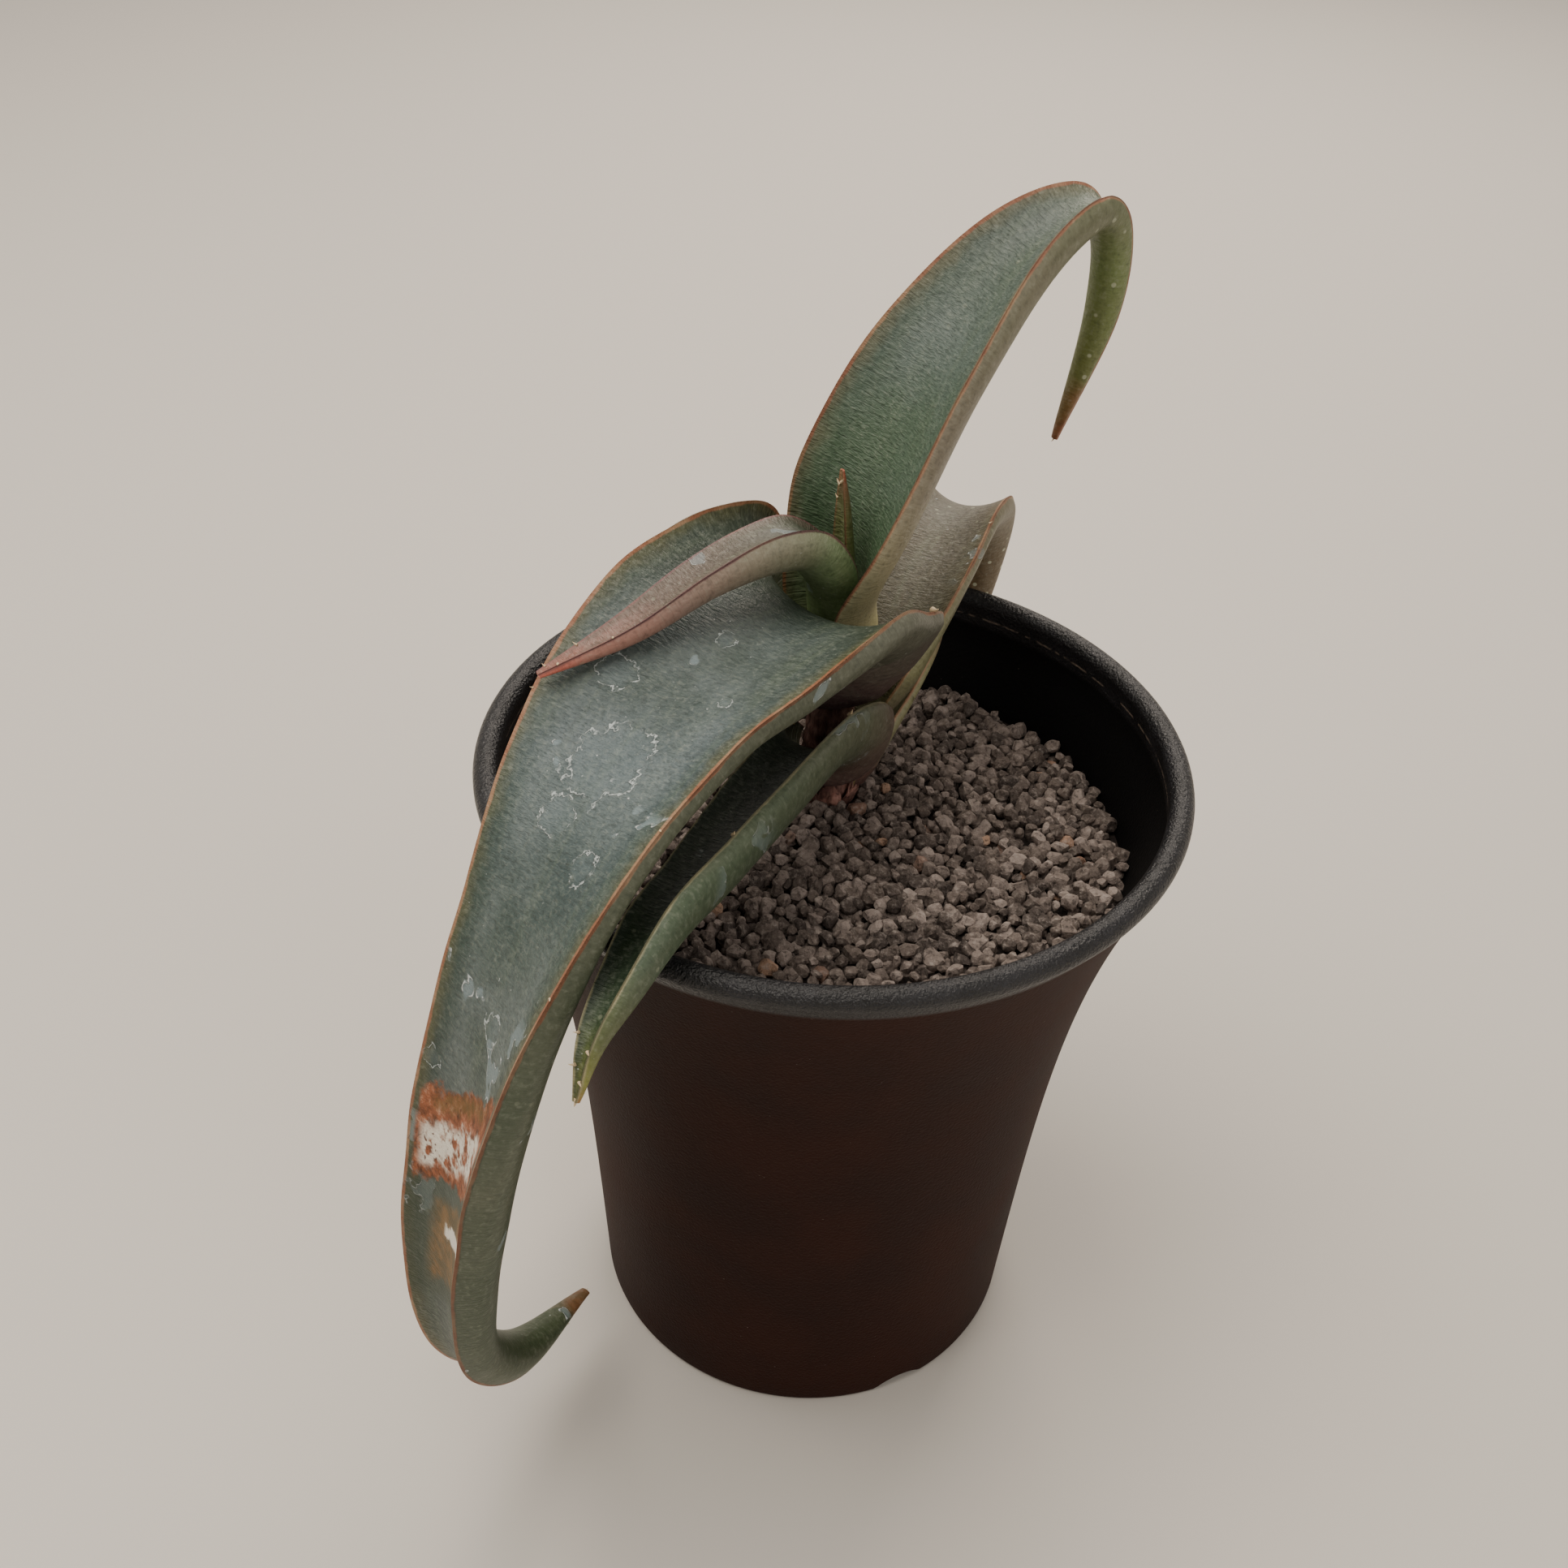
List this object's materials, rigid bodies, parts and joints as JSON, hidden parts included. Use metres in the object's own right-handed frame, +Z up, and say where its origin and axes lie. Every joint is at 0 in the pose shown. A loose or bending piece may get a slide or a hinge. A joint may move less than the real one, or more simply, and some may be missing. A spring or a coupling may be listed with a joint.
{
  "type": "potted aloe plant",
  "caption": "Succulent with broad arching blue-green leaves that hook over at their tips, growing in gravel in a flared round black plastic pot",
  "frame": {"origin": "on the surface the pot stands on, under the middle of the whole object's outline", "axes": "+Z up; the pot's axis is parallel to Z; the side the plant is looked at from faces -Y, with the large hooked leaf to the left, -X, and the tall hooked leaf to the right, +X"},
  "size_m": [0.1255, 0.1447, 0.211],
  "materials": {
    "pot": "fine-grained black plastic, satin on the lip",
    "gravel": "dull broken volcanic grit, 2 to 4 mm, dark grey-brown with a few tan stones",
    "stem": "dull purple-brown plant tissue with dried leaf-base remains",
    "oldest_right_leaf": "waxy leaf skin, pale cream-green, reddish at the tip",
    "lower_left_leaf": "waxy leaf skin, dark green channel, paler grey-green underside",
    "folded_right_leaf": "waxy leaf skin, olive to brown",
    "large_left_leaf": "waxy leaf skin, blue-green with olive margins, a brown and white scar near the tip",
    "tall_right_leaf": "waxy leaf skin, blue-green with a thin red-brown margin",
    "curled_left_leaf": "waxy leaf skin, grey-green to purple-brown",
    "newest_leaf": "waxy leaf skin, green with a red tip"
  },
  "bodies": {
    "root": {"pot": "pot", "gravel": "gravel", "stem": "stem", "oldest_right_leaf": "oldest_right_leaf", "lower_left_leaf": "lower_left_leaf", "folded_right_leaf": "folded_right_leaf", "large_left_leaf": "large_left_leaf", "tall_right_leaf": "tall_right_leaf", "curled_left_leaf": "curled_left_leaf", "newest_leaf": "newest_leaf"}
  },
  "joints": []
}
